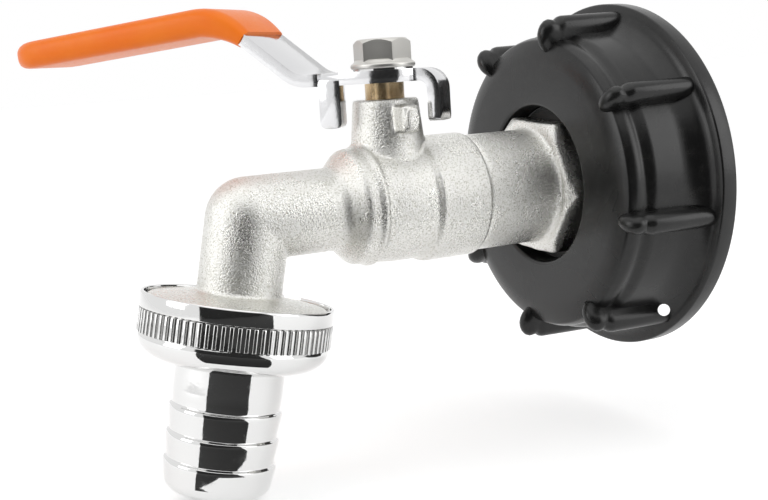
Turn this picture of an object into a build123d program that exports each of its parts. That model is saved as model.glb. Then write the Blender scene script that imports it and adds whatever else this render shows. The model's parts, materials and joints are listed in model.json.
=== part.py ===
from build123d import *
from math import cos, radians, sin, sqrt, tan
import os

os.makedirs("parts", exist_ok=True)

# Ball valve tap on a coarse-thread tank cap, in millimetres.
# The origin is the centre of the cap's mouth, +X leaves the mouth towards
# the tank and +Z runs up the stem.

# Main layout
mouth_to_stem = 62.45
stem_to_elbow = 33.9
outlet_tilt = 12.0
lever_heading = 50.0
touch_gap = 0.05
turn_fit = 0.04

# Screw cap
cap_depth = 24.2
cap_wall_radius = 35.2
cap_wall_draft = 0.5
cap_shoulder = 3.4
shoulder_length = 4.0
cap_groove_depth = 0.5
cap_groove_width = 1.3
flange_radius = 41.0
flange_thickness = 4.2
tank_thread_radius = 30.0
tank_thread_length = 11.0
thread_relief_length = 4.0
thread_relief_depth = 0.4
gasket_thickness = 3.0
gasket_width = 8.5
boss_proud = 5.5
hex_recess_radius = 18.4
hex_recess_depth = 5.75
rib_count = 8
rib_start_angle = 100.6
rib_width = 4.8
rib_height = 4.0
rib_nose_reach = 1.9
rib_nose_length = 5.0
rib_notch_depth = 1.2
wire_hole_length = 4.4
wire_hole_height = 2.8

# End connector between the cap and the valve body
cap_pipe_thread_radius = 13.2
connector_radius = 13.2
hex_flats = 30.0
hex_length = 6.5
hex_turn = 4.5
hex_washer_thickness = 1.5
connector_thread_past_cap = 1.0

# Valve body
barrel_radius = 13.1
socket_radius = 14.0
socket_start = 4.6
socket_end = 18.0
ridge_radius = 12.65
ridge_place = 8.0
cone_edge_radius = 12.0
cone_edge_place = 12.2
cone_end_place = 16.3
spout_radius = 9.0
waterway_radius = 6.5
spout_end_radius = 16.6
spout_thread_end = 24.9
spout_collar_radius = 18.9
spout_collar_top = 15.9
spout_collar_edge = 17.3
spout_collar_bottom = 18.3
tower_top = 22.7
tower_top_radius = 7.2
tower_foot_radius = 8.2
tower_foot = 7.6
tower_flare_radius = 10.4
tower_flare_top = 12.4
lug_width = 4.0
lug_reach = 12.0
lug_low = 15.5
lug_high = 21.3
pad_width = 3.2
pad_height = 5.0
pad_proud = 0.3

# Ball, seats and stem
ball_radius = 9.8
open_stop_angle = 76.0
seat_bore_radius = 6.7
seat_outer_radius = 10.6
seat_end = 8.9
seat_start = 5.2
inner_thread_radius = 11.9
joint_ring_outer = 12.9
joint_ring_depth = 1.4
stem_radius = 4.3
stem_collar_radius = 5.2
stem_collar_low = 9.95
stem_collar_high = 11.2
thrust_washer_thickness = 0.8
tang_width = 3.9
tang_length = 9.0
tang_low = 7.9
lower_ring_height = 15.0
upper_ring_height = 18.6
ring_section = 1.0
drive_flats = 6.2
stud_radius = 3.0
stud_top = 34.5

# Lever, grip and nut
plate_thickness = 2.7
plate_bottom = 26.25
lever_width = 18.0
hub_radius = 9.0
lever_flat_end = 17.2
lever_rise_angle = 38.5
lever_fall_angle = 5.0
lever_peak_place = 35.7
lever_tip_place = 93.5
lever_bend_radius = 8.0
near_tab_start = 6.6
near_tab_length = 5.1
near_tab_bottom = 17.1
near_tab_corner = 1.4
near_tab_bend = 2.4
far_tab_outer = 13.9
far_tab_width = 7.0
far_tab_bottom = 17.6
far_tab_bend = 3.2
grip_width = 20.5
grip_thickness = 6.4
grip_start_place = 29.6
grip_tip_wall = 1.9
washer_radius = 6.6
washer_thickness = 0.4
nut_flats = 11.0
nut_flange_radius = 7.1
nut_flange_thickness = 1.5
nut_top = 35.0

# Union nut and hose tail, heights measured down the outlet from the elbow
nut_rim = 16.7
nut_radius = 20.4
nut_lip_radius = 19.6
nut_lip_depth = 2.0
knurl_start = 20.0
knurl_end = 25.2
knurl_count = 80
knurl_depth = 0.45
nut_skirt_radius = 20.05
nut_bottom = 30.9
nut_neck_radius = 11.9
nut_floor = 28.95
tail_washer_thickness = 2.0
tail_flange_radius = 15.6
tail_tube_radius = 11.6
tail_bore_radius = 8.4
tail_tip = 58.9
tail_tip_rounding = 3.0
barb_first = 39.8
barb_spacing = 5.7
barb_count = 3
barb_crest_radius = 11.95
barb_root_radius = 11.3
barb_step = 0.5

# Derived places
stem_point = (-mouth_to_stem, 0, 0)
elbow_point = (-mouth_to_stem - stem_to_elbow, 0, 0)
tilt = radians(outlet_tilt)
turn = radians(lever_heading)
plate_top = plate_bottom + plate_thickness
plate_middle = plate_bottom + plate_thickness / 2
rib_crest_radius = cap_wall_radius + rib_height
boss_radius = tank_thread_radius - gasket_width
gasket_seat = -tank_thread_length - thread_relief_length - gasket_thickness
recess_floor = hex_recess_depth - cap_depth
hex_back = recess_floor - hex_washer_thickness
hex_front = hex_back - hex_length
boss_face = gasket_seat + boss_proud
washer_top = plate_top + washer_thickness
tail_flange_top = spout_thread_end + tail_washer_thickness + touch_gap
pipe_bore = cap_pipe_thread_radius - 3.4

# Shared planes and axes
body_side = Plane(origin=stem_point, x_dir=(1, 0, 0), z_dir=(0, -1, 0))
stem_floor = Plane(origin=stem_point, x_dir=(1, 0, 0), z_dir=(0, 0, 1))
cap_side = Plane(origin=(0, 0, 0), x_dir=(1, 0, 0), z_dir=(0, -1, 0))
elbow_face = Plane(origin=elbow_point, x_dir=(0, 1, 0), z_dir=(1, 0, 0))
outlet_side = Plane(origin=elbow_point, x_dir=(cos(tilt), 0, -sin(tilt)), z_dir=(0, 1, 0))
outlet_ring = Plane(
    origin=elbow_point,
    x_dir=(cos(tilt), 0, -sin(tilt)),
    z_dir=(-sin(tilt), 0, -cos(tilt)),
)
lever_side = Plane(
    origin=stem_point,
    x_dir=(-cos(turn), sin(turn), 0),
    z_dir=(sin(turn), cos(turn), 0),
)
lever_floor = Plane(origin=stem_point, x_dir=(-cos(turn), sin(turn), 0), z_dir=(0, 0, 1))
stem_axis = Axis(stem_point, (0, 0, 1))
outlet_axis = Axis(elbow_point, (-sin(tilt), 0, -cos(tilt)))
elbow_axis = Axis(elbow_point, (0, -1, 0))

# One grip rib of the cap, with a rounded nose at the front and a notch behind it
rib_front = -cap_depth - rib_nose_reach
notch_place = -cap_depth + rib_nose_length - rib_nose_reach
with BuildPart() as rib:
    with BuildSketch(Plane.XZ):
        with BuildLine():
            Polyline(
                (cap_wall_radius - 3, -flange_thickness / 2),
                (rib_crest_radius + 0.5, -flange_thickness / 2),
                (rib_crest_radius, notch_place + 1.6),
                (rib_crest_radius - rib_notch_depth, notch_place),
                (rib_crest_radius - 0.3, notch_place - 1.6),
                (rib_crest_radius - 1.6, rib_front + 0.5),
                (cap_wall_radius - cap_shoulder, rib_front),
                (cap_wall_radius - cap_shoulder - 1.4, -cap_depth + 1),
                close=True,
            )
        make_face()
    extrude(amount=rib_width / 2, both=True)
    fillet(rib.edges().filter_by(Plane.XZ).sort_by(Axis.X)[6:], radius=1.2)

# Screw cap with its coarse tank thread bore, boss and hex recess
with BuildPart(Plane.YZ) as cap:
    with BuildSketch(cap_side):
        with BuildLine():
            Polyline(
                (-cap_depth, 0),
                (-cap_depth, cap_wall_radius - cap_shoulder),
                (-cap_depth + 0.9, cap_wall_radius - 1.25),
                (-cap_depth + shoulder_length - cap_groove_width, cap_wall_radius - 0.35),
                (-cap_depth + shoulder_length, cap_wall_radius - cap_groove_depth - 0.3),
                (-cap_depth + shoulder_length + cap_groove_width, cap_wall_radius - 0.25),
                (-flange_thickness - 2.2, cap_wall_radius + cap_wall_draft),
                (-flange_thickness, cap_wall_radius + cap_wall_draft + 2.0),
                (-flange_thickness, flange_radius - 0.5),
                (-flange_thickness + 0.5, flange_radius),
                (-0.4, flange_radius),
                (0, flange_radius - 0.4),
                (0, 0),
                close=True,
            )
        make_face()
    revolve(axis=Axis.X)
    with PolarLocations(0, rib_count, start_angle=rib_start_angle):
        add(rib.part)
    with BuildSketch(cap_side):
        with BuildLine():
            Polyline(
                (gasket_seat, boss_radius),
                (gasket_seat, tank_thread_radius + thread_relief_depth),
                (-tank_thread_length, tank_thread_radius + thread_relief_depth),
                (-tank_thread_length, tank_thread_radius),
                (1, tank_thread_radius),
                (1, 0),
                (boss_face, 0),
                (boss_face, boss_radius - 0.8),
                (boss_face - 0.8, boss_radius),
                close=True,
            )
        make_face()
    revolve(axis=Axis.X, mode=Mode.SUBTRACT)
    with BuildSketch(cap_side):
        with BuildLine():
            Polyline(
                (-cap_depth - 1, 0),
                (-cap_depth - 1, hex_recess_radius + 0.6),
                (-cap_depth, hex_recess_radius + 0.6),
                (-cap_depth + 0.6, hex_recess_radius),
                (recess_floor, hex_recess_radius),
                (recess_floor, cap_pipe_thread_radius),
                (boss_face + 1, cap_pipe_thread_radius),
                (boss_face + 1, 0),
                close=True,
            )
        make_face()
    revolve(axis=Axis.X, mode=Mode.SUBTRACT)
    wire_rib = radians(rib_start_angle + 3 * 360 / rib_count)
    wire_middle = cap_wall_radius + 0.6 + wire_hole_height / 2
    wire_out = (0, cos(wire_rib), sin(wire_rib))
    wire_across = (0, -sin(wire_rib), cos(wire_rib))
    wire_place = (
        -flange_thickness - 0.6 - wire_hole_length / 2,
        wire_middle * cos(wire_rib),
        wire_middle * sin(wire_rib),
    )
    with BuildSketch(Plane(origin=wire_place, x_dir=(1, 0, 0), z_dir=wire_across)):
        RectangleRounded(wire_hole_length, wire_hole_height, wire_hole_height / 2 - 0.1)
    extrude(amount=rib_width, both=True, mode=Mode.SUBTRACT)

# Flat gasket that seals on the tank's rim
with BuildPart() as cap_gasket:
    with BuildSketch(Plane(origin=(gasket_seat, 0, 0), x_dir=(0, 1, 0), z_dir=(1, 0, 0))):
        Circle(tank_thread_radius - 0.35)
        Circle(boss_radius + 0.4, mode=Mode.SUBTRACT)
    extrude(amount=gasket_thickness)
    fillet(cap_gasket.edges().group_by(Axis.X)[-1], radius=0.5)

# Sealing washer under the connector's hexagon
with BuildPart() as hex_washer:
    with BuildSketch(Plane(origin=(hex_back, 0, 0), x_dir=(0, 1, 0), z_dir=(1, 0, 0))):
        Circle(hex_recess_radius - 1.3)
        Circle(cap_pipe_thread_radius + 0.1, mode=Mode.SUBTRACT)
    extrude(amount=hex_washer_thickness)

# End connector: body thread, plain barrel, hexagon and pipe thread into the cap
connector_inner = seat_end - mouth_to_stem
connector_seam = socket_end - mouth_to_stem
thread_tip = boss_face + connector_thread_past_cap
hex_corner = hex_flats / sqrt(3)
with BuildPart() as end_connector:
    with BuildSketch(cap_side):
        with BuildLine():
            Polyline(
                (connector_inner, waterway_radius),
                (connector_inner, inner_thread_radius - 0.8),
                (connector_inner + 0.8, inner_thread_radius),
                (connector_seam, inner_thread_radius),
                (connector_seam, connector_radius - 0.35),
                (connector_seam + 0.35, connector_radius),
                (hex_front - 2.4, connector_radius),
                (hex_front + 1, connector_radius - 0.5),
                (hex_front + 1, waterway_radius),
                close=True,
            )
        make_face()
    revolve(axis=Axis.X)
    with BuildSketch(Plane(origin=(hex_front, 0, 0), x_dir=(0, 1, 0), z_dir=(1, 0, 0))):
        RegularPolygon(hex_corner, 6, rotation=-hex_turn)
        Circle(waterway_radius, mode=Mode.SUBTRACT)
    extrude(amount=hex_length)
    with BuildSketch(cap_side):
        with BuildLine():
            Polyline(
                (connector_inner - 1, 0),
                (connector_inner - 1, hex_corner - 1.9),
                (hex_front, hex_corner - 1.9),
                (hex_front + 1.1, hex_corner + 0.1),
                (hex_back, hex_corner + 0.1),
                (hex_back, 0),
                close=True,
            )
        make_face()
    revolve(axis=Axis.X, mode=Mode.INTERSECT)
    with BuildSketch(cap_side):
        with BuildLine():
            Polyline(
                (hex_back, pipe_bore),
                (hex_back, cap_pipe_thread_radius),
                (thread_tip - 1, cap_pipe_thread_radius),
                (thread_tip, cap_pipe_thread_radius - 1),
                (thread_tip, pipe_bore),
                close=True,
            )
        make_face()
    revolve(axis=Axis.X)
    with BuildSketch(cap_side):
        with BuildLine():
            Polyline(
                (hex_front, 0),
                (hex_front, waterway_radius),
                (hex_back, pipe_bore),
                (thread_tip + 1, pipe_bore),
                (thread_tip + 1, 0),
                close=True,
            )
        make_face()
    revolve(axis=Axis.X, mode=Mode.SUBTRACT)

# Seal ring in the body's mouth, pressed by the connector's barrel
with BuildPart() as joint_ring:
    with BuildSketch(body_side):
        with Locations((socket_end - joint_ring_depth / 2, (joint_ring_outer + inner_thread_radius) / 2)):
            RectangleRounded(joint_ring_depth - 0.1, joint_ring_outer - inner_thread_radius - 0.06, 0.3)
    revolve(axis=Axis.X)

# Valve body: barrel, stem tower, spout with its round elbow and threaded outlet
with BuildPart() as valve_body:
    with BuildSketch(body_side):
        with BuildLine():
            Polyline(
                (-stem_to_elbow, 0),
                (-stem_to_elbow, spout_radius),
                (-cone_end_place, spout_radius),
                (-cone_edge_place, cone_edge_radius),
                (-ridge_place, ridge_radius),
                (-ridge_place + 2.5, barrel_radius),
                (socket_start - 1.2, barrel_radius),
                (socket_start, socket_radius),
                (socket_end - 0.4, socket_radius),
                (socket_end, socket_radius - 0.4),
                (socket_end, 0),
                close=True,
            )
        make_face()
    revolve(axis=Axis.X)
    with BuildSketch(body_side):
        with BuildLine():
            ThreePointArc(
                (tower_flare_radius, tower_foot),
                (tower_foot_radius + 0.6, tower_foot + 2.2),
                (tower_foot_radius, tower_flare_top),
            )
            Polyline(
                (tower_foot_radius, tower_flare_top),
                (tower_top_radius, tower_top - 0.4),
                (tower_top_radius - 0.4, tower_top),
                (0, tower_top),
                (0, tower_foot),
                (tower_flare_radius, tower_foot),
            )
        make_face()
    revolve(axis=stem_axis)
    with BuildSketch(elbow_face):
        Circle(spout_radius)
        with Locations((0, -spout_radius)):
            Rectangle(3 * spout_radius, 2 * spout_radius, mode=Mode.SUBTRACT)
    revolve(axis=elbow_axis, revolution_arc=90 - outlet_tilt)
    with BuildSketch(outlet_side):
        with BuildLine():
            Polyline(
                (0, 0),
                (spout_radius, 0),
                (spout_radius, spout_collar_top - 0.2),
                (spout_radius + 1, spout_collar_top),
                (spout_collar_radius, spout_collar_edge),
                (spout_collar_radius, spout_collar_bottom),
                (spout_end_radius, spout_collar_bottom),
                (spout_end_radius, spout_thread_end - 0.7),
                (spout_end_radius - 0.7, spout_thread_end),
                (0, spout_thread_end),
                close=True,
            )
        make_face()
    revolve(axis=outlet_axis)
    with BuildSketch(Plane(origin=stem_point, x_dir=(1, 0, 0), z_dir=(0, -1, 0))):
        with Locations((0, (lug_low + lug_high) / 2)):
            RectangleRounded(lug_width, lug_high - lug_low, 0.5)
    extrude(amount=lug_reach)
    with BuildSketch(Plane(origin=(-mouth_to_stem, -lug_reach, 0), x_dir=(1, 0, 0), z_dir=(0, -1, 0))):
        with Locations((0, (lug_low + lug_high) / 2)):
            Ellipse(pad_width / 2, pad_height / 2)
    extrude(amount=pad_proud)
    # hollows: spout, elbow, outlet, ball chamber, threads and stem bore
    with BuildSketch(elbow_face):
        Circle(waterway_radius)
        with Locations((0, -spout_radius)):
            Rectangle(3 * spout_radius, 2 * spout_radius, mode=Mode.SUBTRACT)
    revolve(axis=elbow_axis, revolution_arc=90 - outlet_tilt, mode=Mode.SUBTRACT)
    with BuildSketch(outlet_ring):
        Circle(waterway_radius)
    extrude(amount=spout_thread_end + 1, mode=Mode.SUBTRACT)
    with BuildSketch(body_side):
        with BuildLine():
            Polyline(
                (-stem_to_elbow, 0),
                (-stem_to_elbow, waterway_radius),
                (-seat_end, waterway_radius),
                (-seat_end, seat_outer_radius + touch_gap),
                (seat_end, seat_outer_radius + touch_gap),
                (seat_end, inner_thread_radius),
                (socket_end - joint_ring_depth, inner_thread_radius),
                (socket_end - joint_ring_depth, joint_ring_outer),
                (socket_end + 1, joint_ring_outer),
                (socket_end + 1, 0),
                close=True,
            )
        make_face()
    revolve(axis=Axis.X, mode=Mode.SUBTRACT)
    with BuildSketch(body_side):
        with BuildLine():
            Polyline(
                (0, 0),
                (stem_collar_radius + 2 * turn_fit, 0),
                (stem_collar_radius + 2 * turn_fit, stem_collar_high + thrust_washer_thickness),
                (stem_radius + turn_fit, stem_collar_high + thrust_washer_thickness),
                (stem_radius + turn_fit, tower_top - 0.3),
                (stem_radius + turn_fit + 0.3, tower_top),
                (stem_radius + turn_fit + 0.3, tower_top + 1),
                (0, tower_top + 1),
                close=True,
            )
        make_face()
    revolve(axis=stem_axis, mode=Mode.SUBTRACT)

# Two soft seats that hold the ball, mirror images about the stem
with BuildPart() as inlet_seat:
    with BuildSketch(body_side):
        with Locations(((seat_start + seat_end) / 2, (seat_bore_radius + seat_outer_radius) / 2)):
            Rectangle(seat_end - seat_start, seat_outer_radius - seat_bore_radius)
        Circle(ball_radius + touch_gap, mode=Mode.SUBTRACT)
    revolve(axis=Axis.X)

with BuildPart() as outlet_seat:
    mirror(inlet_seat.part, about=Plane(origin=stem_point, x_dir=(0, 1, 0), z_dir=(1, 0, 0)))

# Ball with its bore and the slot for the stem's tang
with BuildPart() as ball:
    with Locations(Location(stem_point, (0, 0, -open_stop_angle))):
        Sphere(ball_radius)
        Cylinder(waterway_radius, 3 * ball_radius, rotation=(0, 90, 0), mode=Mode.SUBTRACT)
    with Locations(Location((-mouth_to_stem, 0, tang_low - 0.1), (0, 0, -open_stop_angle))):
        Box(
            tang_width + 2 * touch_gap, 3 * ball_radius, ball_radius,
            align=(Align.CENTER, Align.CENTER, Align.MIN), mode=Mode.SUBTRACT,
        )

# Stem: tang, collar, sealing shank with two ring grooves, drive flats and stud
with BuildPart() as stem:
    with BuildSketch(body_side):
        with BuildLine():
            Polyline(
                (0, stem_collar_low),
                (stem_collar_radius, stem_collar_low),
                (stem_collar_radius, stem_collar_high),
                (stem_radius, stem_collar_high),
                (stem_radius, plate_bottom),
                (0, plate_bottom),
                close=True,
            )
        make_face()
    revolve(axis=stem_axis)
    with Locations(Location((-mouth_to_stem, 0, tang_low), (0, 0, -open_stop_angle))):
        Box(tang_width, tang_length, stem_collar_low - tang_low, align=(Align.CENTER, Align.CENTER, Align.MIN))
    with BuildSketch(lever_floor.offset(plate_bottom)):
        Circle(stem_radius)
        Rectangle(3 * stem_radius, drive_flats, mode=Mode.INTERSECT)
    extrude(amount=plate_thickness)
    with BuildSketch(stem_floor.offset(plate_top)):
        Circle(stud_radius)
    extrude(amount=stud_top - plate_top)
    chamfer(stem.edges().group_by(Axis.Z)[-1], length=0.4)
    with BuildSketch(body_side):
        with Locations((stem_radius, lower_ring_height), (stem_radius, upper_ring_height)):
            Rectangle(2 * ring_section, ring_section + 0.2)
    revolve(axis=stem_axis, mode=Mode.SUBTRACT)

# Anti-friction washer above the stem's collar
with BuildPart() as thrust_washer:
    with BuildSketch(stem_floor.offset(stem_collar_high)):
        Circle(stem_collar_radius)
        Circle(stem_radius + 2 * turn_fit, mode=Mode.SUBTRACT)
    extrude(amount=thrust_washer_thickness)

# Two seal rings in the stem's grooves
ring_centre = stem_radius - ring_section / 2 - 0.01
with BuildPart() as stem_ring_lower:
    with BuildSketch(body_side):
        with Locations((ring_centre, lower_ring_height)):
            Circle(ring_section / 2 - 0.01)
    revolve(axis=stem_axis)

with BuildPart() as stem_ring_upper:
    with BuildSketch(body_side):
        with Locations((ring_centre, upper_ring_height)):
            Circle(ring_section / 2 - 0.01)
    revolve(axis=stem_axis)

# Lever: bent strip, round hub, the near side tab and the far tab
peak_height = plate_middle + (lever_peak_place - lever_flat_end) * tan(radians(lever_rise_angle))
tip_height = peak_height - (lever_tip_place - lever_peak_place) * tan(radians(lever_fall_angle))
with BuildPart() as lever:
    with BuildLine(lever_side) as lever_spine:
        FilletPolyline(
            (0.5, plate_middle),
            (lever_flat_end, plate_middle),
            (lever_peak_place, peak_height),
            (lever_tip_place, tip_height),
            radius=lever_bend_radius,
        )
    with BuildSketch(Plane(origin=lever_spine.line @ 0, x_dir=lever_side.z_dir, z_dir=lever_spine.line % 0)):
        Rectangle(lever_width, plate_thickness)
    sweep()
    with BuildSketch(lever_floor.offset(peak_height + grip_thickness)):
        RectangleRounded(2 * lever_tip_place, lever_width, lever_width / 2 - 1.5)
    extrude(amount=-2 * peak_height, mode=Mode.INTERSECT)
    with BuildSketch(lever_floor.offset(plate_bottom)):
        Circle(hub_radius)
    extrude(amount=plate_thickness)
    with BuildSketch(lever_side):
        with BuildLine():
            Polyline(
                (-hub_radius / 2, plate_top),
                (-far_tab_outer, plate_top),
                (-far_tab_outer, far_tab_bottom),
                (-far_tab_outer + plate_thickness, far_tab_bottom),
                (-far_tab_outer + plate_thickness, plate_bottom),
                (-hub_radius / 2, plate_bottom),
                close=True,
            )
        make_face()
    extrude(amount=far_tab_width / 2, both=True)
    far_tab_corner = lever_side.from_local_coords((-far_tab_outer, plate_top, 0))
    fillet(lever.edges().sort_by_distance(far_tab_corner)[0], radius=far_tab_bend + plate_thickness / 2)
    far_tab_inside = lever_side.from_local_coords((plate_thickness - far_tab_outer, plate_bottom, 0))
    fillet(lever.edges().sort_by_distance(far_tab_inside)[0], radius=far_tab_bend - plate_thickness / 2)
    far_tab_low = [
        lever_side.from_local_coords((plate_thickness / 2 - far_tab_outer, far_tab_bottom, side * far_tab_width / 2))
        for side in (-1, 1)
    ]
    fillet([lever.edges().sort_by_distance(corner)[0] for corner in far_tab_low], radius=1)
    with BuildSketch(lever_side.offset(plate_thickness - lever_width / 2)):
        with Locations((near_tab_start + near_tab_length / 2, (plate_top + near_tab_bottom) / 2)):
            RectangleRounded(near_tab_length, plate_top - near_tab_bottom, near_tab_corner)
        with Locations((near_tab_start + near_tab_length / 2, plate_middle)):
            Rectangle(near_tab_length, plate_thickness)
    extrude(amount=-plate_thickness)
    with BuildSketch(Plane(origin=stem_point, x_dir=-lever_side.z_dir, z_dir=lever_side.x_dir).offset(near_tab_start)):
        with Locations((lever_width / 2, plate_top)):
            Rectangle(2 * near_tab_bend, 2 * near_tab_bend)
        with Locations((lever_width / 2 - near_tab_bend, plate_top - near_tab_bend)):
            Circle(near_tab_bend, mode=Mode.SUBTRACT)
            Rectangle(2 * near_tab_bend, 2 * near_tab_bend, align=(Align.MAX, Align.CENTER), mode=Mode.SUBTRACT)
            Rectangle(2 * near_tab_bend, 2 * near_tab_bend, align=(Align.CENTER, Align.MAX), mode=Mode.SUBTRACT)
    extrude(amount=near_tab_length, mode=Mode.SUBTRACT)
    with BuildSketch(lever_floor.offset(plate_bottom - 1)):
        Circle(stem_radius + 0.02)
        Rectangle(3 * stem_radius, drive_flats + 0.04, mode=Mode.INTERSECT)
    extrude(amount=plate_thickness + 2, mode=Mode.SUBTRACT)

# Grip: soft sleeve over the far end of the lever with a rounded closed tip
with BuildPart() as lever_grip:
    with BuildLine(lever_side) as grip_spine:
        FilletPolyline(
            (grip_start_place, peak_height - (lever_peak_place - grip_start_place) * tan(radians(lever_rise_angle))),
            (lever_peak_place, peak_height),
            (lever_tip_place + 2 * grip_tip_wall, tip_height - 2 * grip_tip_wall * tan(radians(lever_fall_angle))),
            radius=lever_bend_radius,
        )
    with BuildSketch(Plane(origin=grip_spine.line @ 0, x_dir=lever_side.z_dir, z_dir=grip_spine.line % 0)):
        RectangleRounded(grip_width, grip_thickness, grip_thickness / 2 - 0.3)
    sweep()
    with BuildSketch(lever_floor.offset(peak_height + grip_thickness)):
        RectangleRounded(2 * (lever_tip_place + grip_tip_wall), grip_width, grip_width / 2 - 1.5)
    extrude(amount=-2 * peak_height, mode=Mode.INTERSECT)
    grip_tip = (lever_tip_place + grip_tip_wall, tip_height - grip_tip_wall * tan(radians(lever_fall_angle)))
    nose_height = grip_thickness + 0.4
    with BuildSketch(lever_side):
        with Locations(Location(grip_tip, -lever_fall_angle)):
            Rectangle(2 * grip_thickness, 2 * grip_thickness)
            RectangleRounded(
                4 * grip_thickness, nose_height, nose_height / 2 - 0.1,
                align=(Align.MAX, Align.CENTER), mode=Mode.SUBTRACT,
            )
    extrude(amount=grip_width, both=True, mode=Mode.SUBTRACT)
    add(lever.part, mode=Mode.SUBTRACT)

# Toothed washer and flanged nut that hold the lever on the stem
with BuildPart() as lever_washer:
    with BuildSketch(stem_floor.offset(plate_top)):
        Circle(washer_radius)
        Circle(stud_radius + 0.1, mode=Mode.SUBTRACT)
    extrude(amount=washer_thickness)

nut_corner = nut_flats / sqrt(3)
with BuildPart() as lever_nut:
    with BuildSketch(stem_floor.offset(washer_top)):
        RegularPolygon(nut_corner, 6, rotation=15)
    extrude(amount=nut_top - washer_top)
    with BuildSketch(body_side):
        with BuildLine():
            Polyline(
                (0, washer_top - 1),
                (nut_corner + 1, washer_top - 1),
                (nut_corner + 1, nut_top - 1.6),
                (nut_corner - 0.5, nut_top - 0.7),
                (nut_corner - 1.2, nut_top),
                (0, nut_top),
                close=True,
            )
        make_face()
    revolve(axis=stem_axis, mode=Mode.INTERSECT)
    with BuildSketch(body_side):
        with BuildLine():
            Polyline(
                (0, washer_top),
                (nut_flange_radius - 0.2, washer_top),
                (nut_flange_radius, washer_top + 0.25),
                (nut_flange_radius - 0.15, washer_top + 0.8),
                (nut_flats / 2, washer_top + nut_flange_thickness),
                (0, washer_top + nut_flange_thickness),
                close=True,
            )
        make_face()
    revolve(axis=stem_axis)
    with BuildSketch(stem_floor.offset(washer_top - 1)):
        Circle(stud_radius + 0.02)
    extrude(amount=nut_top - washer_top + 2, mode=Mode.SUBTRACT)

# Union nut: open rim, straight knurl, rounded skirt and the inner floor for the tail
with BuildPart(outlet_ring) as union_nut:
    with BuildSketch(outlet_side):
        with BuildLine():
            Polyline(
                (nut_lip_radius, nut_rim),
                (nut_radius - 0.2, nut_rim),
                (nut_radius, nut_rim + 0.3),
                (nut_radius, knurl_start - 0.3),
                (nut_radius - knurl_depth, knurl_start),
                (nut_radius - knurl_depth, knurl_end),
                (nut_skirt_radius, knurl_end + 0.5),
                (nut_skirt_radius, nut_bottom - 4.2),
                (nut_skirt_radius - 0.5, nut_bottom - 3.2),
                (nut_skirt_radius - 1.5, nut_bottom - 1.9),
                (nut_skirt_radius - 3.6, nut_bottom - 0.8),
                (nut_skirt_radius - 6, nut_bottom - 0.2),
                (nut_neck_radius + 0.5, nut_bottom),
                (nut_neck_radius, nut_bottom - 0.4),
                (nut_neck_radius, nut_floor),
                (spout_end_radius + 0.4, nut_floor),
                (spout_end_radius + 0.4, spout_thread_end),
                (spout_end_radius + turn_fit, spout_thread_end - 0.4),
                (spout_end_radius + turn_fit, nut_rim + nut_lip_depth),
                (nut_lip_radius, nut_rim + nut_lip_depth),
                close=True,
            )
        make_face()
    revolve(axis=outlet_axis)
    tooth_width = 2 * 3.14159 * nut_radius / knurl_count * 0.55
    with BuildSketch(outlet_ring.offset(knurl_start)):
        with PolarLocations(nut_radius - knurl_depth, knurl_count):
            RectangleRounded(2 * knurl_depth + 0.4, tooth_width, 0.25)
    extrude(amount=knurl_end - knurl_start)

# Flat washer between the spout and the tail's flange
with BuildPart() as tail_washer:
    with BuildSketch(outlet_ring.offset(spout_thread_end)):
        Circle(tail_flange_radius)
        Circle(tail_bore_radius + 0.6, mode=Mode.SUBTRACT)
    extrude(amount=tail_washer_thickness)

# Hose tail with three sawtooth barbs and a rounded end
with BuildPart() as hose_tail:
    with BuildSketch(outlet_side):
        with BuildLine():
            Polyline(
                (tail_bore_radius, tail_flange_top),
                (tail_flange_radius, tail_flange_top),
                (tail_flange_radius, nut_floor - touch_gap),
                (tail_tube_radius, nut_floor - touch_gap),
                (barb_root_radius, barb_first - barb_step),
                (barb_root_radius, tail_tip),
                (tail_bore_radius, tail_tip),
                close=True,
            )
        make_face()
    revolve(axis=outlet_axis)
    fillet(hose_tail.edges().group_by(outlet_axis)[-1].sort_by(SortBy.LENGTH)[-1], radius=tail_tip_rounding - 0.2)
    with BuildSketch(outlet_side):
        for barb in range(barb_count):
            barb_place = barb_first + barb * barb_spacing
            with BuildLine():
                Polyline(
                    (tail_bore_radius + 1, barb_place - barb_step),
                    (barb_root_radius, barb_place - barb_step),
                    (barb_crest_radius, barb_place),
                    (barb_crest_radius, barb_place + 0.6),
                    (barb_root_radius, barb_place + barb_spacing - barb_step),
                    (tail_bore_radius + 1, barb_place + barb_spacing - barb_step),
                    close=True,
                )
            make_face()
    revolve(axis=outlet_axis)

cap.part.label = "cap"
export_step(cap.part, "parts/cap.step")
cap_gasket.part.label = "cap_gasket"
export_step(cap_gasket.part, "parts/cap_gasket.step")
hex_washer.part.label = "hex_washer"
export_step(hex_washer.part, "parts/hex_washer.step")
end_connector.part.label = "end_connector"
export_step(end_connector.part, "parts/end_connector.step")
joint_ring.part.label = "joint_ring"
export_step(joint_ring.part, "parts/joint_ring.step")
valve_body.part.label = "valve_body"
export_step(valve_body.part, "parts/valve_body.step")
inlet_seat.part.label = "inlet_seat"
export_step(inlet_seat.part, "parts/inlet_seat.step")
outlet_seat.part.label = "outlet_seat"
export_step(outlet_seat.part, "parts/outlet_seat.step")
ball.part.label = "ball"
export_step(ball.part, "parts/ball.step")
stem.part.label = "stem"
export_step(stem.part, "parts/stem.step")
thrust_washer.part.label = "thrust_washer"
export_step(thrust_washer.part, "parts/thrust_washer.step")
stem_ring_lower.part.label = "stem_ring_lower"
export_step(stem_ring_lower.part, "parts/stem_ring_lower.step")
stem_ring_upper.part.label = "stem_ring_upper"
export_step(stem_ring_upper.part, "parts/stem_ring_upper.step")
lever.part.label = "lever"
export_step(lever.part, "parts/lever.step")
lever_grip.part.label = "lever_grip"
export_step(lever_grip.part, "parts/lever_grip.step")
lever_washer.part.label = "lever_washer"
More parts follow.
